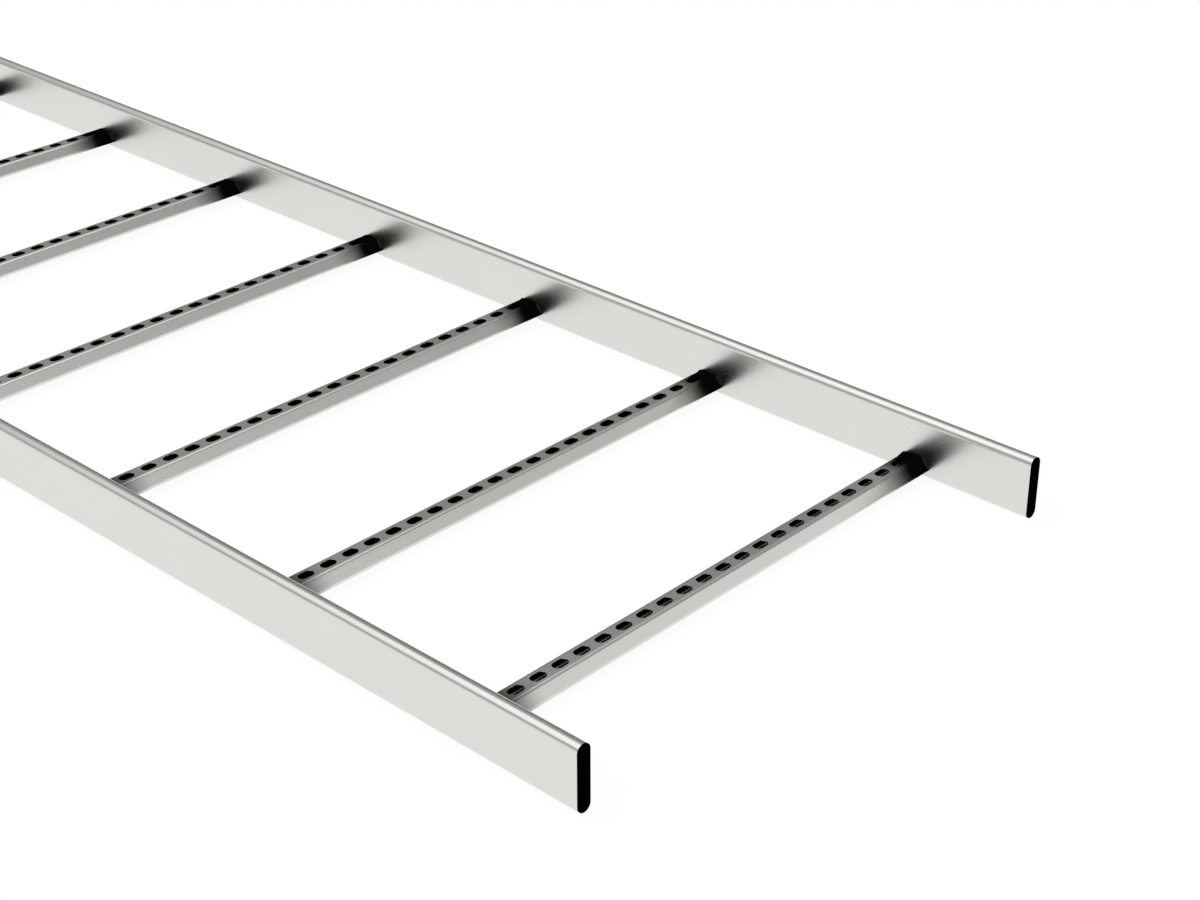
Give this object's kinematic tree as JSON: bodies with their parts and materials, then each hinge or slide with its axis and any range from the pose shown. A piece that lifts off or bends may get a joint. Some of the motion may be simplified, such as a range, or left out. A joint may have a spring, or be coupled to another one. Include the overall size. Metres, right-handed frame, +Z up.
{
  "type": "cable ladder section",
  "caption": "Straight cable ladder section with flat-oval tube side rails, slotted channel rungs between them and black plastic caps on the rail ends.",
  "frame": {"origin": "under the middle of the ladder, at the lowest line of the side rails", "axes": "+X runs along the ladder towards its front end, +Y across it towards the left rail, +Z up from the floor, from the rungs' open side to their slotted tops"},
  "size_m": [3.002, 0.6, 0.0615],
  "materials": {
    "rail_steel": "zinc-coated steel tube, smooth satin",
    "rung_steel": "zinc-coated steel sheet, satin",
    "cap_plastic": "black moulded plastic, matt"
  },
  "bodies": {
    "root": {"side_rail_left": "rail_steel", "side_rail_right": "rail_steel", "rung_01": "rung_steel", "rung_02": "rung_steel", "rung_03": "rung_steel", "rung_04": "rung_steel", "rung_05": "rung_steel", "rung_06": "rung_steel", "rung_07": "rung_steel", "rung_08": "rung_steel", "rung_09": "rung_steel", "rung_10": "rung_steel", "rung_11": "rung_steel", "rung_12": "rung_steel", "end_cap_left_front": "cap_plastic", "end_cap_left_back": "cap_plastic", "end_cap_right_front": "cap_plastic", "end_cap_right_back": "cap_plastic"}
  },
  "joints": []
}
